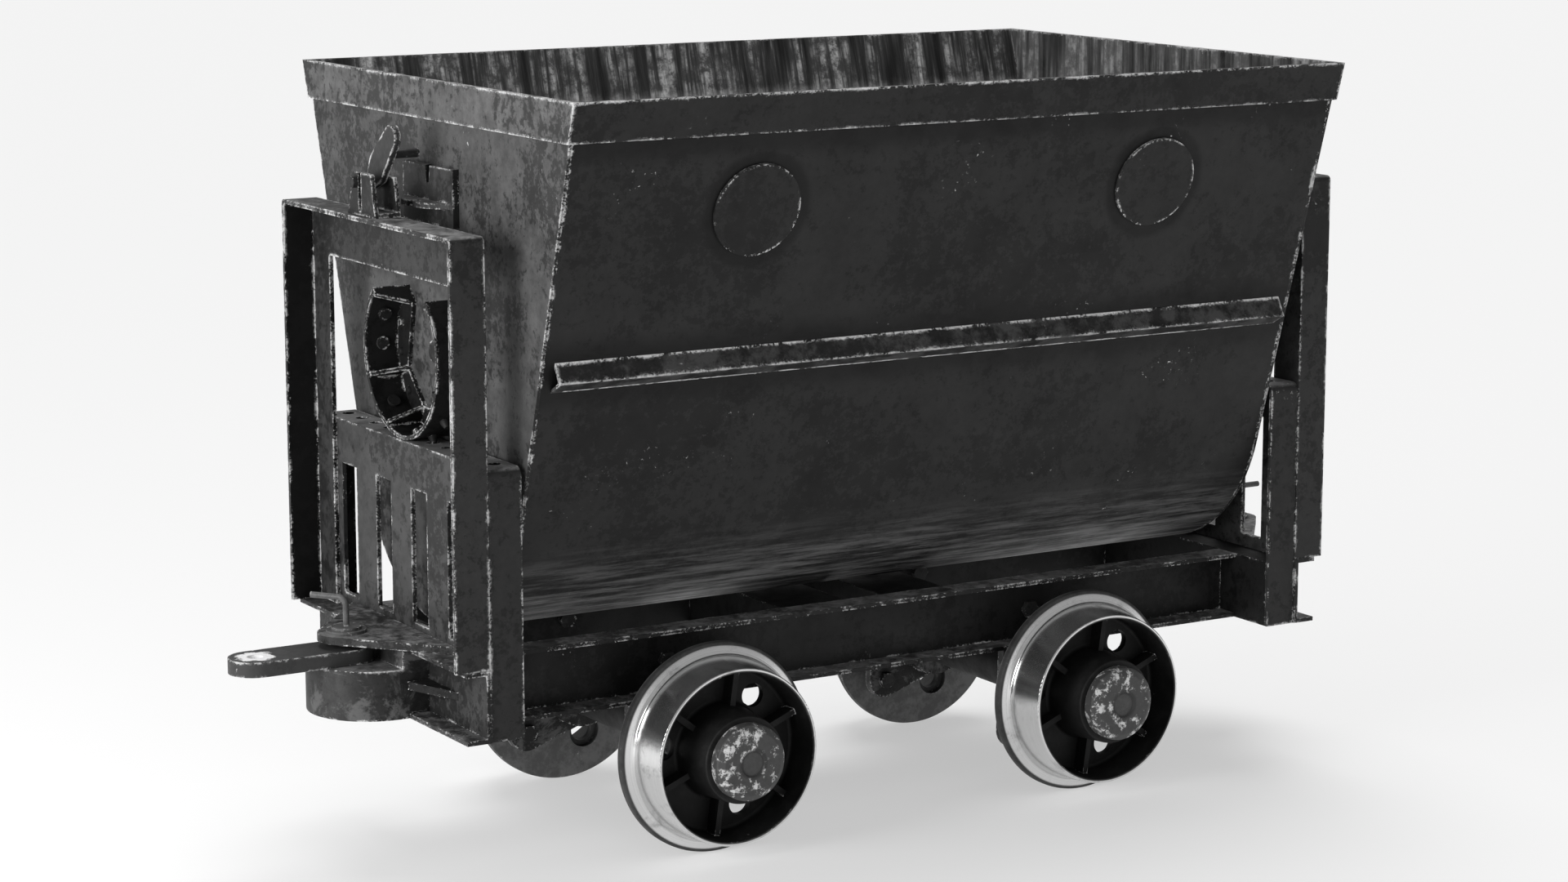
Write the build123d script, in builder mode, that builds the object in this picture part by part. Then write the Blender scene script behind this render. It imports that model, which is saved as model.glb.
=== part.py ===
from build123d import *
import math
import os

# Rocker side-tipping mine cart, in millimetres.
# X runs along the car, the front end with its coupling link at -X. Y runs across, the left side at -Y.
# The origin is the centre of the wheelbase, on the surface that the wheel flanges stand on.
# The two ends are half-turn copies of each other, so most end pieces are drawn once in planes that
# face out of an end and built for both.

# ---- Driving dimensions -------------------------------------------------------------------------

PLATE = 8.0                    # frame plate and channel thickness
SEAT = 0.05                    # radial clearance where a round piece sits in a hole
AIR = 0.3                      # gap between faces that move past each other

# Tub
TUB_HALF_LENGTH = 803.5        # to the outer face of the end walls
END_WALL = 6.0
SHEET = 8.0
TUB_RISE = 483.9               # from the roll axis to the top of the tub
TUB_HALF_WIDTH = 537.5         # outer face of the side walls at the top
SIDE_SLOPE = math.radians(16.43)
BOTTOM_RADIUS = 330.0
BAND_HEIGHT = 70.5
BAND_PROUD = 6.5
RIB_LEG = 40.0
RIB_THICK = 5.0
RIB_SHORT = 26.0               # from the end wall to the end of the rib
RIB_DROP = 479.5               # from the top of the tub to the middle of the rib
DISC_RADIUS = 85.0
DISC_THICK = 5.5
DISC_SHORT = 380.5             # from the end wall to the middle of a disc
DISC_DROP = 205.0

# Rocker rings and the rail they roll on
ROLL_RADIUS = 152.3
RIM_THICK = 7.5
RIM_SHORT = 3.3                # from the rim's edge to the portal
RING_OPEN = 90.0               # angle left open at the top of the ring
PEG_STEP = 22.5
PEGS_EACH_SIDE = 5             # pegs either side of the lowest one
PEG_INSET = 27.6               # from the stand's back edge to the middle of the pegs
PEG_BASE_RADIUS = 9.5
PEG_TIP_RADIUS = 5.0
PEG_LENGTH = 14.0
PEG_SHANK_RADIUS = 7.0
PEG_TAIL_RADIUS = 12.0
PEG_TAIL_THICK = 5.0
RAIL_HOLE_CLEARANCE = 2.0      # around the foot of a peg
WEB_WIDTH = 39.3               # from the rolling face to the corners of the web's opening
GUSSET_ANGLES = (45.0, -22.5, -67.5, -112.5, -157.5, -225.0)
RIVETS = ((22.3, 17.0), (22.3, -7.0), (22.3, -40.0), (28.3, -79.0))   # depth and angle, one side
RIVET_RADIUS = 8.0
RIVET_HEIGHT = 5.0
RIVET_SHANK_RADIUS = 4.0
CENTRE_PIN_RADIUS = 14.0
CENTRE_HEAD_RADIUS = 20.0
CENTRE_HEAD_THICK = 6.0

# Frame
SILL_RISE = 84.2               # from the axles to the bottom of the sills
SILL_DEPTH = 128.0
RAIL_RISE = 350.5              # from the top of the sills to the rail
PORTAL_RISE = 750.8            # from the top of the sills to the top of the portals
WHEELBASE = 812.0
SILL_FLANGE = 45.0
STAND_GAP = 4.4                # from the rim band to the stand's back edge
STAND_DEPTH = 64.6
STAND_HALF_WIDTH = 346.5
STAND_CORNER = 18.0
SLOTS_EACH_SIDE = 2
SLOT_PITCH = 146.0
SLOT_WIDTH = 62.0
SLOT_RISE = 26.0               # from the top of the sills to the bottom of the slots
SLOT_DROP = 81.5               # from the rail to the top of the slots
END_BEAM_GAP = 0.5             # either side of the beam in the stand's foot
END_SILL_HALF_WIDTH = 350.0
END_SILL_FLANGE = 47.0
PORTAL_HALF_WIDTH = 347.7
PORTAL_DEPTH = 65.8
PORTAL_POST_WIDTH = 77.7
PORTAL_BEAM_HEIGHT = 98.8
PORTAL_CORNER = 10.0
CROSS_MEMBER_X = 110.0
CROSS_MEMBER_WIDTH = 140.0
CROSS_MEMBER_DROP = 10.0       # below the top of the sills
CROSS_MEMBER_DEPTH = 96.0

# Coupler
PIN_REACH = 112.0              # from the stand's face to the draw pin
COUPLER_PLATE = 14.0
NOSE_RADIUS = 52.0
NOSE_FLARE = math.radians(50.0)
PIN_RADIUS = 13.0
PIN_HOLE_CLEARANCE = 0.6
PIN_TAIL = 10.0                # below the sills
WASHER_RADIUS = 36.5
WASHER_THICK = 5.0
COLLAR_RADIUS = 27.0
COLLAR_THICK = 5.0
HANDLE_RADIUS = 5.5
HANDLE_RISE = 81.0             # above the sills
HANDLE_BEND = 15.0
HANDLE_ARM = 69.0
HANDLE_TURN = {"front": -52.3, "rear": 0.0}    # arm direction from straight out of the end
BLOCK_HALF_WIDTH = 120.0
LINK_THICK = 27.0
LINK_ROOM = 10.7               # above the link, under the coupler plate
LINK_LENGTH = 176.0            # between the eye centres
LINK_HALF_WIDTH = 48.0
LINK_EYE_CLEARANCE = 1.0       # around a draw pin
LINK_BACK_ROOM = 5.0           # between the link's inner end and the back of its slot
BLOCK_STRAIGHT = 3.0           # from the back of that slot to where the block's nose rounds off
GUSSET_LUG_REACH = 42.0
GUSSET_LUG_WIDTH = 116.0
GUSSET_LUG_RISE = 52.0
GUSSET_LUG_THICK = 15.0

# Wheels and axles; distances across are from the flange face, half the track from the middle
TRACK = 600.0                  # between the outer faces of the flanges
AXLE_RADIUS = 46.0
FLANGE_RADIUS = 193.8
FLANGE_THICK = 15.0
TREAD_ROOT_RADIUS = 172.0
TREAD_EDGE_RADIUS = 162.4
TREAD_WIDTH = 84.6
WHEEL_RIM = 7.0
WHEEL_WEB = 27.0               # web thickness, its back flush with the back of the flange
HUB_RADIUS = 80.0
HUB_INSIDE = 38.0
HUB_OUTSIDE = 105.0
SPOKES = 6
SPOKE_ANGLE = 22.0
SPOKE_THICK = 11.0
SPOKE_HEIGHT = 30.0
WHEEL_HOLE_RADIUS = 22.0
WHEEL_POCKET_RADIUS = 32.0     # round each hole, in the back of the web
WHEEL_POCKET_DEPTH = 13.0
WHEEL_POCKET_ROOM = 2.7        # between the hub and the pockets
BUSH_THICK = 17.0
JOURNAL_RADIUS = 35.0
THREAD_RADIUS = 24.0
NUT_THICK = 17.0
NUT_ACROSS = 36.0              # centre to flat
CAP_RADIUS = 70.0
CAP_HEIGHT = 30.0
CAP_BEVEL = 9.0
CAP_WALL = 9.0
CAP_MARK_RADIUS = 22.0

# Axle brackets
BRACKET_THICK = 19.0
HUB_ROOM = 19.0                # between the bracket plate and the wheel's hub
COLLAR_INSIDE = 26.0           # how far the collar stands out of the plate, inside and outside
COLLAR_OUTSIDE = 9.0
BRACKET_COLLAR_WALL = 26.0
LOBE_RADIUS = 36.0
LOBE_X = 111.0
LOBE_DROP = 76.0
BOLT_RADIUS = 10.0
BOLT_HEAD = 15.0               # centre to flat of the hexagon
BOLT_HEAD_THICK = 11.0
SILL_BOLT_X = 400.0
SILL_BOLT_SHIFT = -50.0
SILL_BOLT_DROP = 1.0           # below the middle of the sills

# Latch
BRACKET_BASE = 8.0
BRACKET_HEIGHT = 76.0
BRACKET_INSET = 1.0            # from the stand's face to the bracket's back
BRACKET_DEPTH = 50.0
BRACKET_BACK_PLATE = 6.0
BACK_PLATE_DROP = 7.0          # how much lower the back plate is than the cheeks
CHEEK_OUTER = (-88.0, -63.0)   # bottom and top of the cheeks' outer edge
CHEEK_INNER = (25.0, 9.0)      # bottom and top of their inner edge
CHEEK_SLIT = (-42.0, -32.0)
PIVOT_SIDEWAYS = -54.0
PIVOT_RISE = 57.8              # above the portal
LATCH_BOLT_RADIUS = 6.0
LEVER_INSET = 10.0             # from the bracket's back to the lever
LEVER_THICK = 12.0
LEVER_ANGLE = 45.0
LEVER_CIRCLES = ((0.0, 15.0), (36.0, 29.0), (119.0, 21.5))   # distance from the pivot and radius
NOSE_DISTANCE = 72.0
LATCH_NOSE_RADIUS = 8.0
LATCH_NOSE_GAP = 16.5          # from the keeper's face to the tip of the lever's nose
KEEPER_HALF_WIDTH = 100.6
KEEPER_RISE = 86.2             # top above the portal
KEEPER_HEIGHT = 103.0
KEEPER_THICK = 12.0
KEEPER_NOTCH_HALF = 9.0
KEEPER_NOTCH_DEPTH = 31.0
SHELF_DROP = 61.0              # from the top of the keeper
SHELF_THICK = 10.0
SHELF_REACH = 34.5             # out of the keeper's face
SHELF_HALF_FRONT = 38.0
SHELF_HALF_BACK = 95.0
SHELF_NOTCH_HALF = 10.0
SHELF_NOTCH_DEPTH = 18.0

# ---- Values that follow -------------------------------------------------------------------------

ENDS = (("front", -1), ("rear", 1))
SIDES = (("left", -1), ("right", 1))

# Heights
AXLE_HEIGHT = FLANGE_RADIUS
SILL_BOTTOM = AXLE_HEIGHT + SILL_RISE
SILL_TOP = SILL_BOTTOM + SILL_DEPTH
RAIL_TOP = SILL_TOP + RAIL_RISE
PORTAL_TOP = SILL_TOP + PORTAL_RISE
ROLL_AXIS = RAIL_TOP + AIR + ROLL_RADIUS
TUB_TOP = ROLL_AXIS + TUB_RISE
SLOPE = math.tan(SIDE_SLOPE)
BOTTOM_CENTRE = TUB_TOP - (TUB_HALF_WIDTH - BOTTOM_RADIUS / math.cos(SIDE_SLOPE)) / SLOPE
RIB_HEIGHT = TUB_TOP - RIB_DROP
DISC_HEIGHT = TUB_TOP - DISC_DROP
SLOT_BOTTOM = SILL_TOP + SLOT_RISE
SLOT_TOP = RAIL_TOP - SLOT_DROP
CROSS_MEMBER_TOP = SILL_TOP - CROSS_MEMBER_DROP
BLOCK_TOP = SILL_TOP - LINK_ROOM - LINK_THICK - AIR
GUSSET_LUG_BOTTOM = SILL_BOTTOM + GUSSET_LUG_RISE
PIN_SEAT = SILL_TOP + COUPLER_PLATE
PIN_BOTTOM = SILL_BOTTOM - PIN_TAIL
HANDLE_TOP = SILL_TOP + HANDLE_RISE
SILL_BOLT_HEIGHT = (SILL_BOTTOM + SILL_TOP) / 2 - SILL_BOLT_DROP
KEEPER_TOP = PORTAL_TOP + KEEPER_RISE
KEEPER_BOTTOM = KEEPER_TOP - KEEPER_HEIGHT
SHELF_TOP = KEEPER_TOP - SHELF_DROP
LATCH_PIVOT = (PIVOT_SIDEWAYS, PORTAL_TOP + PIVOT_RISE)

# Distances along the car, from its middle
END_WALL_X = TUB_HALF_LENGTH
RIB_LENGTH = 2 * (END_WALL_X - RIB_SHORT)
DISC_X = END_WALL_X - DISC_SHORT
STAND_BACK_X = END_WALL_X + BAND_PROUD + STAND_GAP
STAND_FRONT_X = STAND_BACK_X + STAND_DEPTH
RIM_END_X = STAND_FRONT_X - RIM_SHORT
PEG_X = STAND_BACK_X + PEG_INSET
PORTAL_FACE_X = STAND_FRONT_X + PLATE
PIN_X = STAND_FRONT_X + PIN_REACH
BLOCK_SLOT_BACK_X = PIN_X - LINK_HALF_WIDTH - LINK_BACK_ROOM
BLOCK_NOSE_X = BLOCK_SLOT_BACK_X + BLOCK_STRAIGHT
BRACKET_BACK_X = STAND_FRONT_X + BRACKET_INSET
LEVER_X = BRACKET_BACK_X + LEVER_INSET
KEEPER_FACE_X = END_WALL_X + KEEPER_THICK
LATCH_NOSE_X = KEEPER_FACE_X + LATCH_NOSE_GAP
SHELF_EDGE_X = KEEPER_FACE_X + SHELF_REACH
AXLE_X = WHEELBASE / 2

# Distances across the car, from its middle
FLANGE_FACE = TRACK / 2
FLANGE_BACK = FLANGE_FACE - FLANGE_THICK
WEB_FACE = FLANGE_BACK + WHEEL_WEB
WHEEL_FACE = FLANGE_FACE + TREAD_WIDTH
HUB_BACK = FLANGE_FACE - HUB_INSIDE
HUB_FACE = FLANGE_FACE + HUB_OUTSIDE
CAP_FACE = HUB_FACE + CAP_HEIGHT
AXLE_SHOULDER = HUB_BACK - AIR * 2
NUT_FACE = HUB_FACE - PLATE
BRACKET_OUTER = HUB_BACK - HUB_ROOM
BRACKET_INNER = BRACKET_OUTER - BRACKET_THICK
COLLAR_INNER = BRACKET_INNER - COLLAR_INSIDE
COLLAR_OUTER = BRACKET_OUTER + COLLAR_OUTSIDE
SIDE_SILL_EDGE = BRACKET_OUTER
SIDE_SILL_WEB = SIDE_SILL_EDGE - SILL_FLANGE

# Round sizes that fit each other
RAIL_HOLE_RADIUS = PEG_BASE_RADIUS + RAIL_HOLE_CLEARANCE
WEB_INNER_RADIUS = ROLL_RADIUS - WEB_WIDTH
RIM_INNER_RADIUS = ROLL_RADIUS - RIM_THICK
RING_HALF_TURN = (360 - RING_OPEN) / 2
BUSH_OUTER_RADIUS = JOURNAL_RADIUS + BUSH_THICK
BRACKET_COLLAR_RADIUS = AXLE_RADIUS + BRACKET_COLLAR_WALL
LINK_EYE_RADIUS = PIN_RADIUS + LINK_EYE_CLEARANCE
WHEEL_RIM_INNER = TREAD_EDGE_RADIUS - WHEEL_RIM
WHEEL_HOLE_CIRCLE = HUB_RADIUS + WHEEL_POCKET_ROOM + WHEEL_POCKET_RADIUS
SPOKE_END = WHEEL_RIM_INNER


def wall_half_width(height):
    """Half width over the side walls at a height where they are straight."""
    return TUB_HALF_WIDTH - (TUB_TOP - height) * SLOPE


def across(facing, out):
    """Plane across the car, out from its middle towards an end: x runs sideways and y up."""
    return Plane(origin=(facing * out, 0, 0), x_dir=(0, facing, 0), z_dir=(facing, 0, 0))


def level(facing, height):
    """Level plane whose x axis points out of an end."""
    return Plane(origin=(0, 0, height), x_dir=(facing, 0, 0), z_dir=(0, 0, 1))


def beside(side, out):
    """Upright plane along the car, out from its middle plane towards a side: x runs along, y up."""
    return Plane(origin=(0, side * out, 0), x_dir=(side, 0, 0), z_dir=(0, -side, 0))


def wheel_plane(axle_x, side, out):
    """Plane square to an axle, out towards a side: x runs towards +X and y up, from the axle."""
    return Plane(origin=(axle_x, side * out, AXLE_HEIGHT), x_dir=(1, 0, 0), z_dir=(0, -1, 0))


def axle_section(axle_x, side):
    """Plane through an axle: x runs out along the axle and y is the radius."""
    return Plane(origin=(axle_x, 0, AXLE_HEIGHT), x_dir=(0, side, 0), z_dir=(side, 0, 0))


def axle_line(axle_x):
    return Axis((axle_x, 0, AXLE_HEIGHT), (0, 1, 0))


def wall_plane(side, x, height):
    """Plane on the outer face of a side wall, facing away from the tub."""
    return Plane(
        origin=(x, side * wall_half_width(height), height),
        x_dir=(1, 0, 0),
        z_dir=(0, side * math.cos(SIDE_SLOPE), -math.sin(SIDE_SLOPE)),
    )


def polar(radius, degrees):
    """Point at an angle around the roll axis, in a plane across the car."""
    turn = math.radians(degrees)
    return (radius * math.cos(turn), ROLL_AXIS + radius * math.sin(turn))


def save(piece, name):
    piece.part.label = name
    export_step(piece.part, f"parts/{name}.step")


os.makedirs("parts", exist_ok=True)

# ---- Tub ----------------------------------------------------------------------------------------


def tub_outline(inset):
    """Half-round trough outline, inset from the outer faces; open nowhere, flat along the top."""
    radius = BOTTOM_RADIUS - inset
    tangent_x = radius * math.cos(SIDE_SLOPE)
    tangent_z = BOTTOM_CENTRE - radius * math.sin(SIDE_SLOPE)
    top_x = TUB_HALF_WIDTH - inset / math.cos(SIDE_SLOPE)
    with BuildLine() as outline:
        Line((-top_x, TUB_TOP), (-tangent_x, tangent_z))
        ThreePointArc((-tangent_x, tangent_z), (0, BOTTOM_CENTRE - radius), (tangent_x, tangent_z))
        Line((tangent_x, tangent_z), (top_x, TUB_TOP))
        Line((top_x, TUB_TOP), (-top_x, TUB_TOP))
    make_face(outline.edges())


shell_half_length = END_WALL_X - END_WALL
with BuildPart() as bucket_shell:
    with BuildSketch(across(1, -shell_half_length)):
        tub_outline(0)
    extrude(amount=2 * shell_half_length)
    with BuildSketch(across(1, -shell_half_length)):
        tub_outline(SHEET)
    extrude(amount=2 * shell_half_length, mode=Mode.SUBTRACT)
save(bucket_shell, "bucket_shell")

for end, facing in ENDS:
    with BuildPart() as bucket_end:
        with BuildSketch(across(facing, shell_half_length)):
            tub_outline(0)
            with Locations((0, ROLL_AXIS)):
                Circle(CENTRE_PIN_RADIUS + SEAT, mode=Mode.SUBTRACT)
        extrude(amount=END_WALL)
    save(bucket_end, f"bucket_end_{end}")


def band_outline(proud):
    """Trapezium along the top of the side walls, proud of their outer faces."""
    low = TUB_TOP - BAND_HEIGHT
    low_half = wall_half_width(low) + proud
    top_half = TUB_HALF_WIDTH + proud
    Polygon((-low_half, low), (low_half, low), (top_half, TUB_TOP), (-top_half, TUB_TOP))


with BuildPart() as rim_band:
    with BuildSketch(across(1, -END_WALL_X - BAND_PROUD)):
        band_outline(BAND_PROUD)
    extrude(amount=2 * (END_WALL_X + BAND_PROUD))
    with BuildSketch(across(1, -END_WALL_X)):
        band_outline(0)
    extrude(amount=2 * END_WALL_X, mode=Mode.SUBTRACT)
save(rim_band, "rim_band")

rib_toe = RIB_LEG / math.sqrt(2)
rib_inner = rib_toe - RIB_THICK * math.sqrt(2)
for side_name, side in SIDES:
    rib_wall = wall_plane(side, 0, RIB_HEIGHT)
    # The angle iron stands on both toes, its heel away from the wall.
    rib_section = Plane(
        origin=rib_wall.origin - Vector(RIB_LENGTH / 2, 0, 0), x_dir=rib_wall.y_dir, z_dir=(1, 0, 0)
    )
    heel = 1 if rib_section.y_dir.dot(rib_wall.z_dir) > 0 else -1
    with BuildPart() as side_rib:
        with BuildSketch(rib_section):
            Polygon(
                (rib_toe, 0),
                (0, heel * rib_toe),
                (-rib_toe, 0),
                (-rib_inner, 0),
                (0, heel * rib_inner),
                (rib_inner, 0),
            )
        extrude(amount=RIB_LENGTH)
    save(side_rib, f"side_rib_{side_name}")

with BuildPart() as side_discs:
    for side_name, side in SIDES:
        for disc_x in (-DISC_X, DISC_X):
            with BuildSketch(wall_plane(side, disc_x, DISC_HEIGHT)):
                Circle(DISC_RADIUS)
            extrude(amount=DISC_THICK)
save(side_discs, "side_discs")

# ---- Rockers ------------------------------------------------------------------------------------

ring_start = -90 - RING_HALF_TURN
peg_angles = [-90 + PEG_STEP * step for step in range(-PEGS_EACH_SIDE, PEGS_EACH_SIDE + 1)]
rivet_places = [(ROLL_RADIUS - depth, angle) for depth, angle in RIVETS]
rivet_places += [(ROLL_RADIUS - depth, -180 - angle) for depth, angle in RIVETS]


def ring_sector(outer, inner_points):
    """Part of a disc about the roll axis, from one end of the ring to the other, less its middle."""
    start = polar(outer, ring_start)
    finish = polar(outer, ring_start + 2 * RING_HALF_TURN)
    with BuildLine() as outline:
        ThreePointArc(start, polar(outer, -90), finish)
        Polyline(finish, *inner_points, start)
    make_face(outline.edges())


def open_ring(outer, inner):
    """Ring about the roll axis with its top left open."""
    with BuildLine() as outline:
        ThreePointArc(
            polar(outer, ring_start), polar(outer, -90), polar(outer, ring_start + 2 * RING_HALF_TURN)
        )
        Line(
            polar(outer, ring_start + 2 * RING_HALF_TURN), polar(inner, ring_start + 2 * RING_HALF_TURN)
        )
        ThreePointArc(
            polar(inner, ring_start + 2 * RING_HALF_TURN), polar(inner, -90), polar(inner, ring_start)
        )
        Line(polar(inner, ring_start), polar(outer, ring_start))
    make_face(outline.edges())


def radial_plane(facing, degrees):
    """Plane through the roll axis at an angle: x is the radius and y runs out of the end."""
    turn = math.radians(degrees)
    spoke = Vector(0, facing * math.cos(turn), math.sin(turn))
    outward = Vector(facing, 0, 0)
    return Plane(origin=(0, 0, ROLL_AXIS), x_dir=spoke, z_dir=spoke.cross(outward))


def peg_plane(facing, degrees, radius):
    """Plane square to a radius of the ring, at the pegs' distance along the car, facing outward."""
    turn = math.radians(degrees)
    spoke = Vector(0, facing * math.cos(turn), math.sin(turn))
    origin = Vector(facing * PEG_X, 0, ROLL_AXIS) + spoke * radius
    return Plane(origin=origin, x_dir=(1, 0, 0), z_dir=spoke)


for end, facing in ENDS:
    with BuildPart() as rocker:
        with BuildSketch(across(facing, END_WALL_X)):
            ring_sector(ROLL_RADIUS, [polar(WEB_INNER_RADIUS, angle) for angle in GUSSET_ANGLES])
        extrude(amount=PLATE)
        with BuildSketch(across(facing, END_WALL_X)):
            open_ring(ROLL_RADIUS, RIM_INNER_RADIUS)
        extrude(amount=RIM_END_X - END_WALL_X)
        for angle in GUSSET_ANGLES:
            # The end gussets lie inside the ring's ends, the others straddle their radius.
            lean = math.copysign(1, angle + 90) if angle in (GUSSET_ANGLES[0], GUSSET_ANGLES[-1]) else 0
            with BuildSketch(radial_plane(facing, angle).offset(lean * PLATE / 2)):
                Polygon(
                    (WEB_INNER_RADIUS, END_WALL_X),
                    (RIM_INNER_RADIUS + 1, END_WALL_X),
                    (RIM_INNER_RADIUS + 1, RIM_END_X),
                    (RIM_INNER_RADIUS - PLATE, RIM_END_X),
                    (WEB_INNER_RADIUS, END_WALL_X + PLATE),
                )
            extrude(amount=PLATE / 2, both=True)
        for angle in peg_angles:
            # Behind a gusset the hole stops at the inside of the rim.
            hole_foot = RIM_INNER_RADIUS if angle in GUSSET_ANGLES else RIM_INNER_RADIUS - RIM_THICK
            with BuildSketch(peg_plane(facing, angle, hole_foot)):
                Circle(PEG_SHANK_RADIUS + SEAT)
            extrude(amount=3 * RIM_THICK, mode=Mode.SUBTRACT)
        with BuildSketch(across(facing, END_WALL_X)):
            with Locations(*[polar(radius, angle) for radius, angle in rivet_places]):
                Circle(RIVET_SHANK_RADIUS + SEAT)
        extrude(amount=PLATE, mode=Mode.SUBTRACT)
    save(rocker, f"rocker_{end}")

# Each peg is a cone outside the rim and a shank through it, with a round tail inside between gussets.
peg_base = ROLL_RADIUS + SEAT
tail_top = math.sqrt(RIM_INNER_RADIUS ** 2 - PEG_TAIL_RADIUS ** 2) - SEAT
with BuildPart() as rocker_pegs:
    for end, facing in ENDS:
        for angle in peg_angles:
            shank_foot = RIM_INNER_RADIUS
            if angle not in GUSSET_ANGLES:
                shank_foot = tail_top
                with BuildSketch(peg_plane(facing, angle, tail_top - PEG_TAIL_THICK)):
                    Circle(PEG_TAIL_RADIUS)
                extrude(amount=PEG_TAIL_THICK)
            with BuildSketch(peg_plane(facing, angle, shank_foot)):
                Circle(PEG_SHANK_RADIUS)
            extrude(amount=peg_base - shank_foot)
            with BuildSketch(peg_plane(facing, angle, peg_base)):
                Circle(PEG_BASE_RADIUS)
            with BuildSketch(peg_plane(facing, angle, peg_base + PEG_LENGTH)):
                Circle(PEG_TIP_RADIUS)
            loft()
save(rocker_pegs, "rocker_pegs")

web_face = END_WALL_X + PLATE
with BuildPart() as rocker_rivets:
    for end, facing in ENDS:
        with BuildSketch(across(facing, END_WALL_X)):
            with Locations(*[polar(radius, angle) for radius, angle in rivet_places]):
                Circle(RIVET_SHANK_RADIUS)
        extrude(amount=PLATE)
        with BuildSketch(across(facing, web_face)):
            with Locations(*[polar(radius, angle) for radius, angle in rivet_places]):
                Circle(RIVET_RADIUS)
        extrude(amount=RIVET_HEIGHT, taper=20)
save(rocker_rivets, "rocker_rivets")

with BuildPart() as centre_pins:
    for end, facing in ENDS:
        for face, radius, length in (
            (shell_half_length - AIR - CENTRE_HEAD_THICK, CENTRE_HEAD_RADIUS, CENTRE_HEAD_THICK),
            (shell_half_length - AIR, CENTRE_PIN_RADIUS, END_WALL + 2 * AIR),
            (END_WALL_X + AIR, CENTRE_HEAD_RADIUS, CENTRE_HEAD_THICK),
        ):
            with BuildSketch(across(facing, face)):
                with Locations((0, ROLL_AXIS)):
                    Circle(radius)
            extrude(amount=length)
save(centre_pins, "centre_pins")

# ---- Frame --------------------------------------------------------------------------------------

for side_name, side in SIDES:
    with BuildPart() as side_sill:
        with BuildSketch(beside(side, SIDE_SILL_EDGE)):
            with Locations((0, (SILL_BOTTOM + SILL_TOP) / 2)):
                Rectangle(2 * STAND_BACK_X, SILL_TOP - SILL_BOTTOM)
        extrude(amount=SIDE_SILL_EDGE - SIDE_SILL_WEB + PLATE)
        with BuildSketch(beside(side, SIDE_SILL_EDGE)):
            with Locations((0, (SILL_BOTTOM + SILL_TOP) / 2)):
                Rectangle(2 * STAND_BACK_X, SILL_TOP - SILL_BOTTOM - 2 * PLATE)
        extrude(amount=SIDE_SILL_EDGE - SIDE_SILL_WEB, mode=Mode.SUBTRACT)
        with BuildSketch(beside(side, SIDE_SILL_WEB)):
            for bolt_x in (-SILL_BOLT_X, SILL_BOLT_X):
                with Locations((side * (bolt_x + SILL_BOLT_SHIFT), SILL_BOLT_HEIGHT)):
                    Circle(BOLT_RADIUS + SEAT)
        extrude(amount=PLATE, mode=Mode.SUBTRACT)
    save(side_sill, f"side_sill_{side_name}")

for end, facing in ENDS:
    # Channel with its web against the stand and its flanges out.
    with BuildPart() as end_sill:
        with BuildSketch(across(facing, STAND_FRONT_X)):
            with Locations((0, (SILL_BOTTOM + SILL_TOP) / 2)):
                Rectangle(2 * END_SILL_HALF_WIDTH, SILL_TOP - SILL_BOTTOM)
        extrude(amount=END_SILL_FLANGE)
        with BuildSketch(across(facing, PORTAL_FACE_X)):
            with Locations((0, (SILL_BOTTOM + SILL_TOP) / 2)):
                Rectangle(2 * END_SILL_HALF_WIDTH, SILL_TOP - SILL_BOTTOM - 2 * PLATE)
        extrude(amount=END_SILL_FLANGE - PLATE, mode=Mode.SUBTRACT)
    save(end_sill, f"end_sill_{end}")

    # Channel in the foot of the stand, its web to the side sills.
    beam_half = STAND_HALF_WIDTH - PLATE - END_BEAM_GAP
    beam_reach = STAND_FRONT_X - PLATE - STAND_BACK_X
    with BuildPart() as end_beam:
        with BuildSketch(across(facing, STAND_BACK_X)):
            with Locations((0, (SILL_BOTTOM + SILL_TOP) / 2)):
                Rectangle(2 * beam_half, SILL_TOP - SILL_BOTTOM)
        extrude(amount=beam_reach)
        with BuildSketch(across(facing, STAND_BACK_X + PLATE)):
            with Locations((0, (SILL_BOTTOM + SILL_TOP) / 2)):
                Rectangle(2 * beam_half, SILL_TOP - SILL_BOTTOM - 2 * PLATE)
        extrude(amount=beam_reach - PLATE, mode=Mode.SUBTRACT)
    save(end_beam, f"end_beam_{end}")

    # Inverted channel between the side sills, under the tub.
    member_x = CROSS_MEMBER_X - CROSS_MEMBER_WIDTH / 2
    member_half = SIDE_SILL_WEB - PLATE
    with BuildPart() as cross_member:
        with BuildSketch(across(facing, member_x)):
            with Locations((0, CROSS_MEMBER_TOP - CROSS_MEMBER_DEPTH / 2)):
                Rectangle(2 * member_half, CROSS_MEMBER_DEPTH)
        extrude(amount=CROSS_MEMBER_WIDTH)
        with BuildSketch(across(facing, member_x + PLATE)):
            with Locations((0, CROSS_MEMBER_TOP - CROSS_MEMBER_DEPTH / 2 - PLATE)):
                Rectangle(2 * member_half, CROSS_MEMBER_DEPTH)
        extrude(amount=CROSS_MEMBER_WIDTH - 2 * PLATE, mode=Mode.SUBTRACT)
    save(cross_member, f"cross_member_{end}")

# Pressed plate with bent edges; its top is the rail that the rocker rolls along.
slot_centres = [(step - SLOTS_EACH_SIDE + 0.5) * SLOT_PITCH for step in range(2 * SLOTS_EACH_SIDE)]
hole_pitch = ROLL_RADIUS * math.radians(PEG_STEP)
rail_holes = [hole_pitch * step for step in range(-PEGS_EACH_SIDE, PEGS_EACH_SIDE + 1)]


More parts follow.
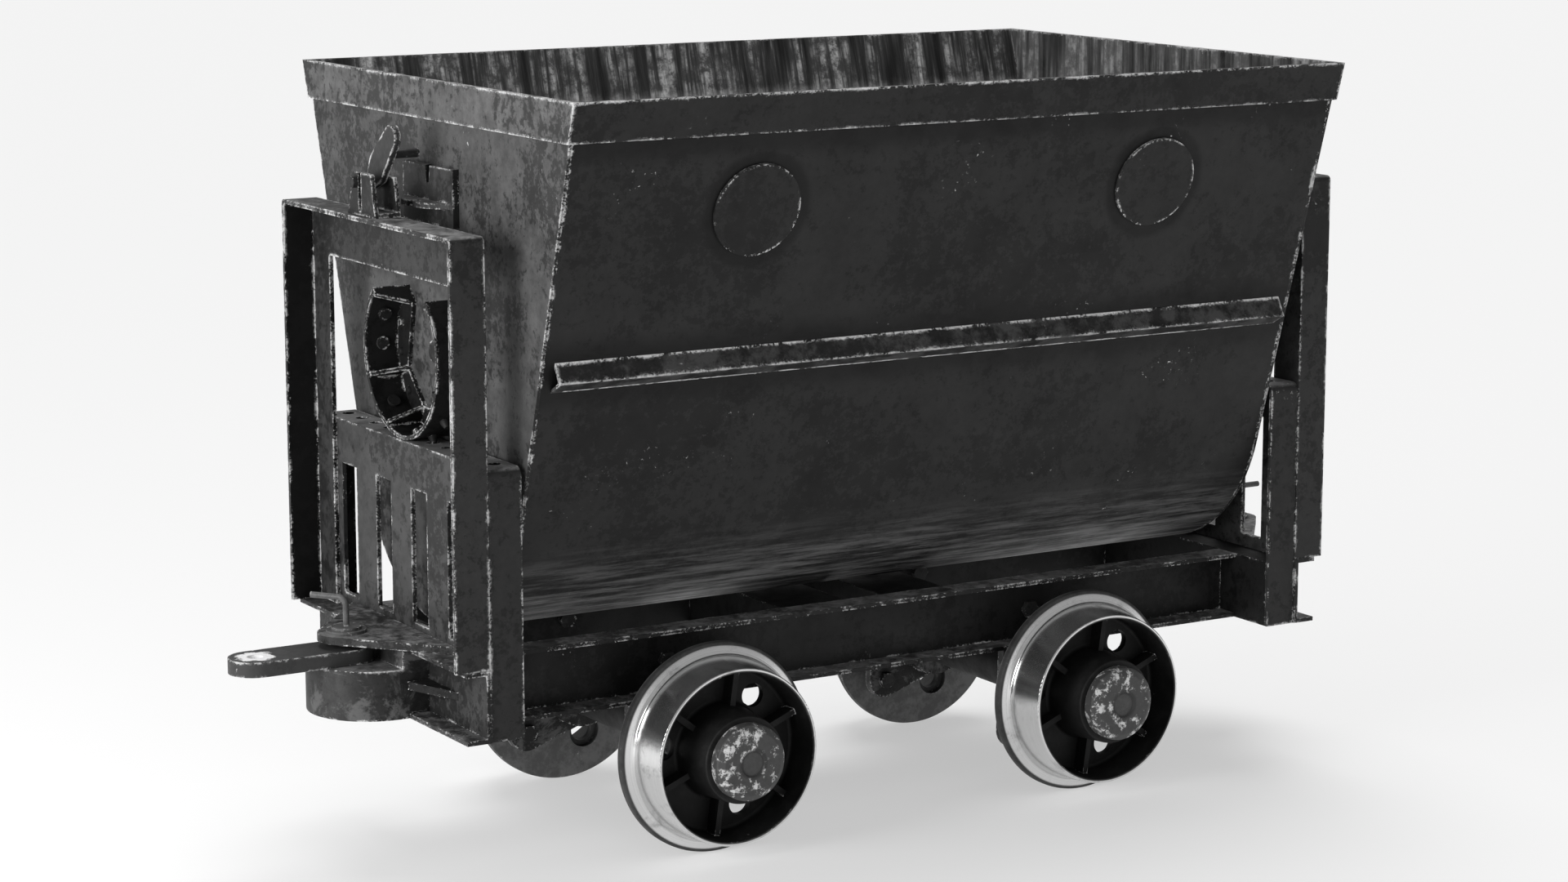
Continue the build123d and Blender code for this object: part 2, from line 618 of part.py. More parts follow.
def stand_outline(inset, corner):
    """Upright rectangle, round at its two top corners, standing on the bottom of the sills."""
    half = STAND_HALF_WIDTH - inset
    top = RAIL_TOP - inset
    with BuildLine() as outline:
        FilletPolyline(
            (-half, SILL_BOTTOM), (-half, top), (half, top), (half, SILL_BOTTOM), radius=corner
        )
        Line((half, SILL_BOTTOM), (-half, SILL_BOTTOM))
    make_face(outline.edges())


for end, facing in ENDS:
    with BuildPart() as rocker_stand:
        with BuildSketch(across(facing, STAND_BACK_X)):
            stand_outline(0, STAND_CORNER)
        extrude(amount=STAND_FRONT_X - STAND_BACK_X)
        with BuildSketch(across(facing, STAND_BACK_X)):
            stand_outline(PLATE, STAND_CORNER - PLATE)
        extrude(amount=STAND_FRONT_X - STAND_BACK_X - PLATE, mode=Mode.SUBTRACT)
        with BuildSketch(across(facing, STAND_FRONT_X)):
            for slot_centre in slot_centres:
                with Locations((slot_centre, (SLOT_BOTTOM + SLOT_TOP) / 2)):
                    Rectangle(SLOT_WIDTH, SLOT_TOP - SLOT_BOTTOM)
        extrude(amount=-PLATE, mode=Mode.SUBTRACT)
        with BuildSketch(level(facing, RAIL_TOP)):
            with Locations(*[(PEG_X, hole) for hole in rail_holes]):
                Circle(RAIL_HOLE_RADIUS)
        extrude(amount=-PLATE, mode=Mode.SUBTRACT)
    save(rocker_stand, f"rocker_stand_{end}")


def portal_outline(post, beam, corner):
    """Arch standing on the end sill, inset from the portal's outer faces."""
    half = PORTAL_HALF_WIDTH - post
    top = PORTAL_TOP - beam
    with BuildLine() as outline:
        FilletPolyline((-half, SILL_TOP), (-half, top), (half, top), (half, SILL_TOP), radius=corner)
        Line((half, SILL_TOP), (-half, SILL_TOP))
    make_face(outline.edges())


for end, facing in ENDS:
    with BuildPart() as portal:
        with BuildSketch(across(facing, STAND_FRONT_X)):
            portal_outline(0, 0, PORTAL_CORNER)
        extrude(amount=PORTAL_DEPTH)
        with BuildSketch(across(facing, PORTAL_FACE_X)):
            portal_outline(PLATE, PLATE, PORTAL_CORNER / 2)
        extrude(amount=PORTAL_DEPTH - PLATE, mode=Mode.SUBTRACT)
        with BuildSketch(across(facing, STAND_FRONT_X)):
            portal_outline(PORTAL_POST_WIDTH, PORTAL_BEAM_HEIGHT, PORTAL_CORNER / 2)
        extrude(amount=PLATE, mode=Mode.SUBTRACT)
    save(portal, f"portal_{end}")

# ---- Coupler ------------------------------------------------------------------------------------

pin_hole = PIN_RADIUS + PIN_HOLE_CLEARANCE
flare_x = PIN_X + NOSE_RADIUS * math.sin(NOSE_FLARE)
flare_y = NOSE_RADIUS * math.cos(NOSE_FLARE)
plate_back_half = flare_y + (flare_x - STAND_FRONT_X) * math.tan(NOSE_FLARE)
link_bottom = BLOCK_TOP + AIR
for end, facing in ENDS:
    with BuildPart() as coupler_plate:
        with BuildSketch(level(facing, SILL_TOP)):
            with BuildLine():
                ThreePointArc((flare_x, flare_y), (PIN_X + NOSE_RADIUS, 0), (flare_x, -flare_y))
                Polyline(
                    (flare_x, -flare_y),
                    (STAND_FRONT_X, -plate_back_half),
                    (STAND_FRONT_X, plate_back_half),
                    (flare_x, flare_y),
                )
            make_face()
            with Locations((PIN_X, 0)):
                Circle(pin_hole, mode=Mode.SUBTRACT)
        extrude(amount=COUPLER_PLATE)
    save(coupler_plate, f"coupler_plate_{end}")

    # The block's foot fits between the end sill's flanges and its back post reaches the plate.
    flange_tip = STAND_FRONT_X + END_SILL_FLANGE
    foot_depth = flange_tip - PORTAL_FACE_X
    with BuildPart() as buffer_block:
        with BuildSketch(level(facing, SILL_BOTTOM)):
            with Locations(((flange_tip + BLOCK_NOSE_X) / 2, 0)):
                Rectangle(BLOCK_NOSE_X - flange_tip, 2 * BLOCK_HALF_WIDTH)
            with BuildLine():
                ThreePointArc(
                    (BLOCK_NOSE_X, BLOCK_HALF_WIDTH),
                    (BLOCK_NOSE_X + BLOCK_HALF_WIDTH, 0),
                    (BLOCK_NOSE_X, -BLOCK_HALF_WIDTH),
                )
                Line((BLOCK_NOSE_X, -BLOCK_HALF_WIDTH), (BLOCK_NOSE_X, BLOCK_HALF_WIDTH))
            make_face()
        extrude(amount=BLOCK_TOP - SILL_BOTTOM)
        with BuildSketch(level(facing, SILL_BOTTOM)):
            with Locations(((flange_tip + BLOCK_SLOT_BACK_X) / 2, 0)):
                Rectangle(BLOCK_SLOT_BACK_X - flange_tip, 2 * BLOCK_HALF_WIDTH)
        extrude(amount=SILL_TOP - SILL_BOTTOM)
        with BuildSketch(level(facing, SILL_BOTTOM + PLATE)):
            with Locations((PORTAL_FACE_X + foot_depth / 2, 0)):
                Rectangle(foot_depth, 2 * BLOCK_HALF_WIDTH)
        extrude(amount=SILL_TOP - SILL_BOTTOM - 2 * PLATE)
        with BuildSketch(level(facing, SILL_BOTTOM)):
            with Locations((PIN_X, 0)):
                Circle(pin_hole)
        extrude(amount=BLOCK_TOP - SILL_BOTTOM, mode=Mode.SUBTRACT)
    save(buffer_block, f"buffer_block_{end}")

    # The shank hangs by its collar on the washer; the thin rod above it is bent into a handle.
    turn = math.radians(HANDLE_TURN[end])
    arm = Vector(facing * math.cos(turn), facing * math.sin(turn), 0)
    collar_foot = PIN_SEAT + WASHER_THICK + SEAT
    rod_foot = collar_foot + COLLAR_THICK
    arm_plane = Plane(origin=(facing * PIN_X, 0, 0), x_dir=arm, z_dir=arm.cross(Vector(0, 0, 1)))
    with BuildPart() as draw_pin:
        with BuildSketch(level(facing, PIN_BOTTOM)):
            with Locations((PIN_X, 0)):
                Circle(PIN_RADIUS)
        extrude(amount=collar_foot - PIN_BOTTOM)
        with BuildSketch(level(facing, collar_foot)):
            with Locations((PIN_X, 0)):
                Circle(COLLAR_RADIUS)
        extrude(amount=COLLAR_THICK)
        with BuildLine(arm_plane) as handle_path:
            FilletPolyline(
                (0, rod_foot),
                (0, HANDLE_TOP - HANDLE_RADIUS),
                (HANDLE_ARM, HANDLE_TOP - HANDLE_RADIUS),
                radius=HANDLE_BEND,
            )
        with BuildSketch(level(facing, rod_foot)):
            with Locations((PIN_X, 0)):
                Circle(HANDLE_RADIUS)
        sweep(path=handle_path.wires()[0])
    save(draw_pin, f"draw_pin_{end}")

with BuildPart() as pin_washers:
    for end, facing in ENDS:
        with BuildSketch(level(facing, PIN_SEAT)):
            with Locations((PIN_X, 0)):
                Circle(WASHER_RADIUS)
                Circle(pin_hole, mode=Mode.SUBTRACT)
        extrude(amount=WASHER_THICK)
save(pin_washers, "pin_washers")

with BuildPart() as buffer_gussets:
    for end, facing in ENDS:
        for side in (-1, 1):
            with BuildSketch(level(facing, GUSSET_LUG_BOTTOM)):
                Polygon(
                    (PORTAL_FACE_X, side * BLOCK_HALF_WIDTH),
                    (PORTAL_FACE_X + GUSSET_LUG_REACH, side * BLOCK_HALF_WIDTH),
                    (PORTAL_FACE_X, side * (BLOCK_HALF_WIDTH + GUSSET_LUG_WIDTH)),
                )
            extrude(amount=GUSSET_LUG_THICK)
save(buffer_gussets, "buffer_gussets")

with BuildPart() as link:
    with BuildSketch(level(-1, link_bottom)):
        with Locations((PIN_X + LINK_LENGTH / 2, 0)):
            SlotCenterToCenter(LINK_LENGTH, 2 * LINK_HALF_WIDTH)
        with Locations((PIN_X, 0), (PIN_X + LINK_LENGTH, 0)):
            Circle(LINK_EYE_RADIUS, mode=Mode.SUBTRACT)
    extrude(amount=LINK_THICK)
save(link, "link")

# ---- Wheels and axles ---------------------------------------------------------------------------

for end, facing in ENDS:
    axle_x = facing * AXLE_X
    with BuildPart() as axle:
        with BuildSketch(axle_section(axle_x, 1)):
            with BuildLine():
                Polyline(
                    (-NUT_FACE - NUT_THICK, 0),
                    (-NUT_FACE - NUT_THICK, THREAD_RADIUS),
                    (-NUT_FACE, THREAD_RADIUS),
                    (-NUT_FACE, JOURNAL_RADIUS),
                    (-AXLE_SHOULDER, JOURNAL_RADIUS),
                    (-AXLE_SHOULDER, AXLE_RADIUS),
                    (AXLE_SHOULDER, AXLE_RADIUS),
                    (AXLE_SHOULDER, JOURNAL_RADIUS),
                    (NUT_FACE, JOURNAL_RADIUS),
                    (NUT_FACE, THREAD_RADIUS),
                    (NUT_FACE + NUT_THICK, THREAD_RADIUS),
                    (NUT_FACE + NUT_THICK, 0),
                    close=True,
                )
            make_face()
        revolve(axis=axle_line(axle_x))
    save(axle, f"axle_{end}")

    for side_name, side in SIDES:
        wheel_name = f"{end}_{side_name}"
        with BuildPart() as wheel:
            with BuildSketch(axle_section(axle_x, side)):
                with BuildLine():
                    FilletPolyline(
                        (HUB_BACK, BUSH_OUTER_RADIUS + SEAT),
                        (HUB_BACK, HUB_RADIUS),
                        (FLANGE_BACK, HUB_RADIUS),
                        (FLANGE_BACK, FLANGE_RADIUS),
                        (FLANGE_BACK + FLANGE_THICK, FLANGE_RADIUS),
                        (FLANGE_BACK + FLANGE_THICK * 1.3, TREAD_ROOT_RADIUS),
                        (WHEEL_FACE, TREAD_EDGE_RADIUS),
                        (WHEEL_FACE, WHEEL_RIM_INNER),
                        (WEB_FACE, WHEEL_RIM_INNER - WHEEL_RIM / 2),
                        (WEB_FACE, HUB_RADIUS + PLATE),
                        (HUB_FACE, HUB_RADIUS),
                        (HUB_FACE, BUSH_OUTER_RADIUS + SEAT),
                        radius=[0, 2, 5, 2, 5, 9, 2, 2, 7, 7, 3, 0],
                        close=True,
                    )
                make_face()
            revolve(axis=axle_line(axle_x))
            with BuildSketch(wheel_plane(axle_x, side, WEB_FACE)):
                with PolarLocations(0, SPOKES, start_angle=SPOKE_ANGLE):
                    with Locations(((HUB_RADIUS + SPOKE_END) / 2, 0)):
                        Rectangle(SPOKE_END - HUB_RADIUS, SPOKE_THICK)
            extrude(amount=-side * SPOKE_HEIGHT)
            for radius, depth in (
                (WHEEL_HOLE_RADIUS, WHEEL_WEB),
                (WHEEL_POCKET_RADIUS, WHEEL_POCKET_DEPTH),
            ):
                with BuildSketch(wheel_plane(axle_x, side, FLANGE_BACK)):
                    with PolarLocations(WHEEL_HOLE_CIRCLE, SPOKES // 2, start_angle=SPOKE_ANGLE + 180 / SPOKES):
                        Circle(radius)
                extrude(amount=-side * depth, mode=Mode.SUBTRACT)
        save(wheel, f"wheel_{wheel_name}")

        with BuildPart() as bearing:
            with BuildSketch(wheel_plane(axle_x, side, AXLE_SHOULDER + AIR)):
                Circle(BUSH_OUTER_RADIUS)
                Circle(JOURNAL_RADIUS + SEAT, mode=Mode.SUBTRACT)
            extrude(amount=-side * (NUT_FACE - AXLE_SHOULDER - 2 * AIR))
        save(bearing, f"bearing_{wheel_name}")

        with BuildPart() as hub_cap:
            with BuildSketch(axle_section(axle_x, side)):
                with BuildLine():
                    FilletPolyline(
                        (HUB_FACE, CAP_RADIUS - CAP_WALL),
                        (HUB_FACE, CAP_RADIUS),
                        (CAP_FACE - CAP_BEVEL, CAP_RADIUS),
                        (CAP_FACE, CAP_RADIUS - CAP_BEVEL * 1.4),
                        (CAP_FACE, CAP_MARK_RADIUS + 3),
                        (CAP_FACE - 3, CAP_MARK_RADIUS),
                        (CAP_FACE - 3, 0),
                        (CAP_FACE - CAP_WALL, 0),
                        (CAP_FACE - CAP_WALL, CAP_RADIUS - CAP_WALL),
                        radius=[0, 1, 6, 6, 1, 1, 0, 0, 2],
                        close=True,
                    )
                make_face()
            revolve(axis=axle_line(axle_x))
        save(hub_cap, f"hub_cap_{wheel_name}")

with BuildPart() as axle_nuts:
    for end, facing in ENDS:
        for side_name, side in SIDES:
            with BuildSketch(wheel_plane(facing * AXLE_X, side, NUT_FACE)):
                RegularPolygon(NUT_ACROSS, 6, major_radius=False)
                Circle(THREAD_RADIUS + SEAT, mode=Mode.SUBTRACT)
            extrude(amount=-side * NUT_THICK)
save(axle_nuts, "axle_nuts")

# Each bracket stands under a side sill, with a collar round the axle and a lobe for its clamp bolt.
for end, facing in ENDS:
    for side_name, side in SIDES:
        axle_x = facing * AXLE_X
        lobe_x = -LOBE_X
        sill_gap = SILL_BOTTOM - AXLE_HEIGHT
        with BuildPart() as bracket:
            with BuildSketch(wheel_plane(axle_x, side, BRACKET_INNER)):
                with BuildLine():
                    CenterArc((0, 0), BRACKET_COLLAR_RADIUS, 0, 360)
                    CenterArc((lobe_x, -LOBE_DROP), LOBE_RADIUS, 0, 360)
                    Line((lobe_x * 1.3, sill_gap), (-lobe_x * 0.65, sill_gap))
                make_hull()
            extrude(amount=-side * (BRACKET_OUTER - BRACKET_INNER))
            with BuildSketch(wheel_plane(axle_x, side, COLLAR_INNER)):
                Circle(BRACKET_COLLAR_RADIUS)
            extrude(amount=-side * (COLLAR_OUTER - COLLAR_INNER))
            with BuildSketch(wheel_plane(axle_x, side, COLLAR_INNER)):
                Circle(AXLE_RADIUS + SEAT)
                with Locations((lobe_x, -LOBE_DROP)):
                    Circle(BOLT_RADIUS + SEAT)
            extrude(amount=-side * (COLLAR_OUTER - COLLAR_INNER), mode=Mode.SUBTRACT)
        save(bracket, f"axle_bracket_{end}_{side_name}")


def hex_bolt(base, places, head_face, nut_face):
    """Bolts with hexagon head and nut, one solid each; the faces are distances along the plane."""
    with BuildSketch(base.offset(nut_face - BOLT_HEAD_THICK)) as hexagons:
        with Locations(*places):
            RegularPolygon(BOLT_HEAD, 6, major_radius=False)
    with BuildSketch(base.offset(nut_face)) as shanks:
        with Locations(*places):
            Circle(BOLT_RADIUS)
    with BuildSketch(base.offset(head_face)) as heads:
        with Locations(*places):
            RegularPolygon(BOLT_HEAD, 6, major_radius=False)
    extrude(hexagons.sketch, amount=BOLT_HEAD_THICK)
    extrude(shanks.sketch, amount=head_face - nut_face)
    extrude(heads.sketch, amount=BOLT_HEAD_THICK)


with BuildPart() as axle_clamp_bolts:
    for end, facing in ENDS:
        for side_name, side in SIDES:
            inward = Plane(
                origin=(facing * AXLE_X, 0, AXLE_HEIGHT), x_dir=(side, 0, 0), z_dir=(0, -side, 0)
            )
            hex_bolt(inward, [(-side * LOBE_X, -LOBE_DROP)], -BRACKET_INNER, -BRACKET_OUTER)
save(axle_clamp_bolts, "axle_clamp_bolts")

with BuildPart() as sill_bolts:
    for side_name, side in SIDES:
        outward = Plane(origin=(0, 0, 0), x_dir=(-side, 0, 0), z_dir=(0, side, 0))
        places = [
            (-side * (bolt_x + SILL_BOLT_SHIFT), SILL_BOLT_HEIGHT) for bolt_x in (-SILL_BOLT_X, SILL_BOLT_X)
        ]
        hex_bolt(outward, places, SIDE_SILL_WEB, SIDE_SILL_WEB - PLATE)
save(sill_bolts, "sill_bolts")

# ---- Latch --------------------------------------------------------------------------------------

bracket_foot = PORTAL_TOP + BRACKET_BASE
bracket_top = PORTAL_TOP + BRACKET_HEIGHT
cheek_face = BRACKET_BACK_X + BRACKET_DEPTH


def edge_at(edge, height):
    """Sideways place of a sloping cheek edge at a height above the portal."""
    return edge[0] + (edge[1] - edge[0]) * (height - PORTAL_TOP) / BRACKET_HEIGHT


def lever_point(distance):
    turn = math.radians(LEVER_ANGLE)
    return (
        LATCH_PIVOT[0] + distance * math.cos(turn),
        LATCH_PIVOT[1] + distance * math.sin(turn),
    )


for end, facing in ENDS:
    with BuildPart() as latch_bracket:
        with BuildSketch(across(facing, BRACKET_BACK_X)):
            Polygon(
                (edge_at(CHEEK_OUTER, PORTAL_TOP), PORTAL_TOP),
                (edge_at(CHEEK_INNER, PORTAL_TOP), PORTAL_TOP),
                (edge_at(CHEEK_INNER, bracket_foot), bracket_foot),
                (edge_at(CHEEK_OUTER, bracket_foot), bracket_foot),
            )
        extrude(amount=BRACKET_DEPTH)
        for face, thick, top in (
            (BRACKET_BACK_X, BRACKET_BACK_PLATE, bracket_top - BACK_PLATE_DROP),
            (cheek_face - PLATE, PLATE, bracket_top),
        ):
            with BuildSketch(across(facing, face)):
                Polygon(
                    (edge_at(CHEEK_OUTER, PORTAL_TOP), PORTAL_TOP),
                    (edge_at(CHEEK_INNER, PORTAL_TOP), PORTAL_TOP),
                    (edge_at(CHEEK_INNER, top), top),
                    (edge_at(CHEEK_OUTER, top), top),
                )
            extrude(amount=thick)
        with BuildSketch(across(facing, cheek_face - PLATE)):
            with Locations(((CHEEK_SLIT[0] + CHEEK_SLIT[1]) / 2, (bracket_foot + bracket_top) / 2)):
                Rectangle(CHEEK_SLIT[1] - CHEEK_SLIT[0], bracket_top - bracket_foot)
        extrude(amount=PLATE, mode=Mode.SUBTRACT)
        with BuildSketch(across(facing, BRACKET_BACK_X)):
            with Locations(LATCH_PIVOT):
                Circle(LATCH_BOLT_RADIUS + SEAT)
        extrude(amount=BRACKET_DEPTH, mode=Mode.SUBTRACT)
    save(latch_bracket, f"latch_bracket_{end}")

    with BuildPart() as latch_lever:
        with BuildSketch(across(facing, LEVER_X)):
            with BuildLine():
                for distance, radius in LEVER_CIRCLES:
                    CenterArc(lever_point(distance), radius, 0, 360)
            make_hull()
            with Locations(LATCH_PIVOT):
                Circle(LATCH_BOLT_RADIUS + SEAT, mode=Mode.SUBTRACT)
        extrude(amount=LEVER_THICK)
        with BuildSketch(across(facing, LATCH_NOSE_X)):
            with Locations(lever_point(NOSE_DISTANCE)):
                Circle(LATCH_NOSE_RADIUS)
        extrude(amount=LEVER_X - LATCH_NOSE_X)
    save(latch_lever, f"latch_lever_{end}")

latch_head = LATCH_BOLT_RADIUS * 1.6
with BuildPart() as latch_bolts:
    for end, facing in ENDS:
        with BuildSketch(across(facing, BRACKET_BACK_X)):
            with Locations(LATCH_PIVOT):
                Circle(LATCH_BOLT_RADIUS)
        extrude(amount=BRACKET_DEPTH)
        for face, length in ((cheek_face, PLATE), (BRACKET_BACK_X, -PLATE)):
            with BuildSketch(across(facing, face)):
                with Locations(LATCH_PIVOT):
                    RegularPolygon(latch_head, 6, major_radius=False)
            extrude(amount=length)
save(latch_bolts, "latch_bolts")

with BuildPart() as latch_keepers:
    for end, facing in ENDS:
        with BuildSketch(across(facing, END_WALL_X)):
            with Locations((0, (KEEPER_BOTTOM + KEEPER_TOP) / 2)):
                Rectangle(2 * KEEPER_HALF_WIDTH, KEEPER_TOP - KEEPER_BOTTOM)
            Polygon(
                (-KEEPER_NOTCH_HALF, KEEPER_TOP),
                (-KEEPER_NOTCH_HALF / 2, KEEPER_TOP - KEEPER_NOTCH_DEPTH),
                (KEEPER_NOTCH_HALF / 2, KEEPER_TOP - KEEPER_NOTCH_DEPTH),
                (KEEPER_NOTCH_HALF, KEEPER_TOP),
                mode=Mode.SUBTRACT,
            )
        extrude(amount=KEEPER_THICK)
        with BuildSketch(level(facing, SHELF_TOP)):
            Polygon(
                (END_WALL_X, -SHELF_HALF_BACK),
                (KEEPER_FACE_X, -SHELF_HALF_BACK),
                (SHELF_EDGE_X, -SHELF_HALF_FRONT),
                (SHELF_EDGE_X, -SHELF_NOTCH_HALF),
                (SHELF_EDGE_X - SHELF_NOTCH_DEPTH, -SHELF_NOTCH_HALF / 2),
                (SHELF_EDGE_X - SHELF_NOTCH_DEPTH, SHELF_NOTCH_HALF / 2),
                (SHELF_EDGE_X, SHELF_NOTCH_HALF),
                (SHELF_EDGE_X, SHELF_HALF_FRONT),
                (KEEPER_FACE_X, SHELF_HALF_BACK),
                (END_WALL_X, SHELF_HALF_BACK),
            )
        extrude(amount=-SHELF_THICK)
save(latch_keepers, "latch_keepers")
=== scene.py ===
import math
import bpy
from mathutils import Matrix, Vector


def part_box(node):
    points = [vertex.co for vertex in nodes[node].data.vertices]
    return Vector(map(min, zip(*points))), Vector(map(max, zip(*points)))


# A mine cart in old dark paint, on a pale floor. Lengths are metres; greys are linear reflectances.
# The materials read the object's own coordinates, so they ride with the pieces at every pose.

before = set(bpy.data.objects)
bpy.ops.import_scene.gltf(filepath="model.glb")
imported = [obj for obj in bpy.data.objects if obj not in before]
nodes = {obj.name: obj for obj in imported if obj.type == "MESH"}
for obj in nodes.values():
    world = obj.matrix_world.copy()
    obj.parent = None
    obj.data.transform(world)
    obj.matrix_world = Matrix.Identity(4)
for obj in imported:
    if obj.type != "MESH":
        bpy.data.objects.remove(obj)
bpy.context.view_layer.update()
ENDS = ("front", "rear")
SIDES = ("left", "right")

# ---- Shader building ----------------------------------------------------------------------------

EDGE_GAIN = 3.4      # about 1 / (1 - cos 45 degrees), so that a square edge comes out at 1
EDGE_SAMPLES = 6
SOFT_SAMPLES = 4


class Shader:
    """A node material under construction; its methods add nodes and return their output sockets."""

    def __init__(self, name):
        self.material = bpy.data.materials.new(name)
        self.material.use_nodes = True
        self.tree = self.material.node_tree
        self.tree.nodes.clear()
        self.surface = self.tree.nodes.new("ShaderNodeBsdfPrincipled")
        output = self.tree.nodes.new("ShaderNodeOutputMaterial")
        self.tree.links.new(self.surface.outputs[0], output.inputs["Surface"])
        where = self.tree.nodes.new("ShaderNodeTexCoord")
        self.place = where.outputs["Object"]
        self.facing = where.outputs["Normal"]
        self.normal = self.tree.nodes.new("ShaderNodeNewGeometry").outputs["Normal"]

    def feed(self, socket, value):
        """Link a socket to another one, or set it to a plain value."""
        if isinstance(value, bpy.types.NodeSocket):
            self.tree.links.new(value, socket)
        else:
            socket.default_value = value

    def math(self, operation, first, second=0.0, clamp=False):
        node = self.tree.nodes.new("ShaderNodeMath")
        node.operation = operation
        node.use_clamp = clamp
        self.feed(node.inputs[0], first)
        self.feed(node.inputs[1], second)
        return node.outputs[0]

    def plus(self, first, second):
        return self.math("ADD", first, second)

    def minus(self, first, second):
        return self.math("SUBTRACT", first, second)

    def times(self, first, second):
        return self.math("MULTIPLY", first, second)

    def larger(self, first, second):
        return self.math("MAXIMUM", first, second)

    def unsigned(self, value):
        return self.math("ABSOLUTE", value)

    def vector(self, operation, first, second=(0, 0, 0)):
        node = self.tree.nodes.new("ShaderNodeVectorMath")
        node.operation = operation
        self.feed(node.inputs[0], first)
        self.feed(node.inputs[1], second)
        scalar = operation in ("LENGTH", "DOT_PRODUCT", "DISTANCE")
        return node.outputs["Value" if scalar else "Vector"]

    def split(self, vector):
        node = self.tree.nodes.new("ShaderNodeSeparateXYZ")
        self.feed(node.inputs[0], vector)
        return node.outputs

    def join(self, x, y, z):
        node = self.tree.nodes.new("ShaderNodeCombineXYZ")
        for socket, value in zip(node.inputs, (x, y, z)):
            self.feed(socket, value)
        return node.outputs[0]

    def off_axis(self, x, z, centre):
        """Distance from a line along Y through centre."""
        dx = self.minus(x, centre.x)
        dz = self.minus(z, centre.z)
        return self.math("SQRT", self.plus(self.times(dx, dx), self.times(dz, dz)))

    def noise(self, scale, detail=4.0, rough=0.6, place=None, distortion=0.0):
        node = self.tree.nodes.new("ShaderNodeTexNoise")
        self.feed(node.inputs["Vector"], place or self.place)
        node.inputs["Scale"].default_value = scale
        node.inputs["Detail"].default_value = detail
        node.inputs["Roughness"].default_value = rough
        node.inputs["Distortion"].default_value = distortion
        return node.outputs["Fac"]

    def step(self, value, low, high, start=0.0, end=1.0):
        """Smooth step from start to end as value goes from low to high."""
        node = self.tree.nodes.new("ShaderNodeMapRange")
        node.interpolation_type = "SMOOTHSTEP"
        self.feed(node.inputs["Value"], value)
        node.inputs["From Min"].default_value = low
        node.inputs["From Max"].default_value = high
        node.inputs["To Min"].default_value = start
        node.inputs["To Max"].default_value = end
        return node.outputs["Result"]

    def below(self, value, low, high):
        """Smooth step down: 1 under low, 0 over high."""
        return self.step(value, low, high, 1.0, 0.0)

    def mix(self, factor, first, second):
        """Colour mix; plain numbers are greys."""
        node = self.tree.nodes.new("ShaderNodeMix")
        node.data_type = "RGBA"
        node.clamp_factor = True
        self.feed(node.inputs["Factor"], factor)
        for socket, value in ((node.inputs[6], first), (node.inputs[7], second)):
            if isinstance(value, (int, float)):
                value = (value, value, value, 1.0)
            self.feed(socket, value)
        return node.outputs[2]

    def rounded(self, radius, samples):
        """Surface normal, rounded over the edges within radius."""
        node = self.tree.nodes.new("ShaderNodeBevel")
        node.samples = samples
        node.inputs["Radius"].default_value = radius
        return node.outputs[0]

    def edge(self, radius):
        """0 on flats, rising to about 1 on a square edge."""
        facing = self.vector("DOT_PRODUCT", self.rounded(radius, EDGE_SAMPLES), self.normal)
        return self.math("MULTIPLY", self.minus(1.0, facing), EDGE_GAIN, clamp=True)

    def bump(self, height, strength, distance, normal=None):
        node = self.tree.nodes.new("ShaderNodeBump")
        node.inputs["Strength"].default_value = strength
        node.inputs["Distance"].default_value = distance
        self.feed(node.inputs["Height"], height)
        if normal is not None:
            self.feed(node.inputs["Normal"], normal)
        return node.outputs[0]

    def set(self, **values):
        """Give the surface its values, by input name with _ for a space."""
        for name, value in values.items():
            self.feed(self.surface.inputs[name.replace("_", " ")], value)


# ---- Wear, dirt and painted light ---------------------------------------------------------------

BARE = 0.90                # worn steel, far lighter than any paint
MIDDLE_NOISE = 0.5         # the mean of a noise
PAINT_EDGE_REACH = 0.011   # how far bare metal reaches from a painted edge
IRON_EDGE_REACH = 0.005
CAP_EDGE_REACH = 0.004
SOFT_EDGE = 0.002          # rounding of every painted edge
BARE_FROM = 1.70           # where the sum of edge and noises starts to be bare, before wear
BARE_RISE = 0.10


def bare_edges(s, radius, wear):
    """Mask of metal showing along edges in ragged, grainy runs; more wear shows more of it."""
    edge = s.edge(radius)
    runs = s.minus(s.noise(22.0, 5.0, 0.72), MIDDLE_NOISE)
    grains = s.minus(s.noise(240.0, 3.0, 0.7), MIDDLE_NOISE)
    total = s.plus(edge, s.times(runs, 4.6))
    total = s.plus(total, s.times(grains, 3.2))
    bare = s.step(total, BARE_FROM - wear, BARE_FROM + BARE_RISE - wear)
    return s.times(bare, s.step(edge, 0.06, 0.18))


def chips(s, amount):
    """Mask of small ragged nicks on flats, in loose clusters."""
    spots = s.step(s.noise(120.0, 6.0, 0.72, distortion=0.6), 0.66 - amount, 0.69 - amount)
    clusters = s.step(s.noise(7.0, 4.0, 0.6), 0.60, 0.68)
    return s.times(spots, clusters)


def grime_on(s, colour, grime, dark):
    """Soot in fractal patches made of fine ragged specks."""
    broad = s.minus(s.noise(3.2, 4.0, 0.65), MIDDLE_NOISE)
    specks = s.noise(48.0, 12.0, 0.80)
    total = s.plus(specks, s.times(broad, 0.70))
    return s.mix(s.times(s.step(total, 0.49, 0.535), grime), colour, dark)


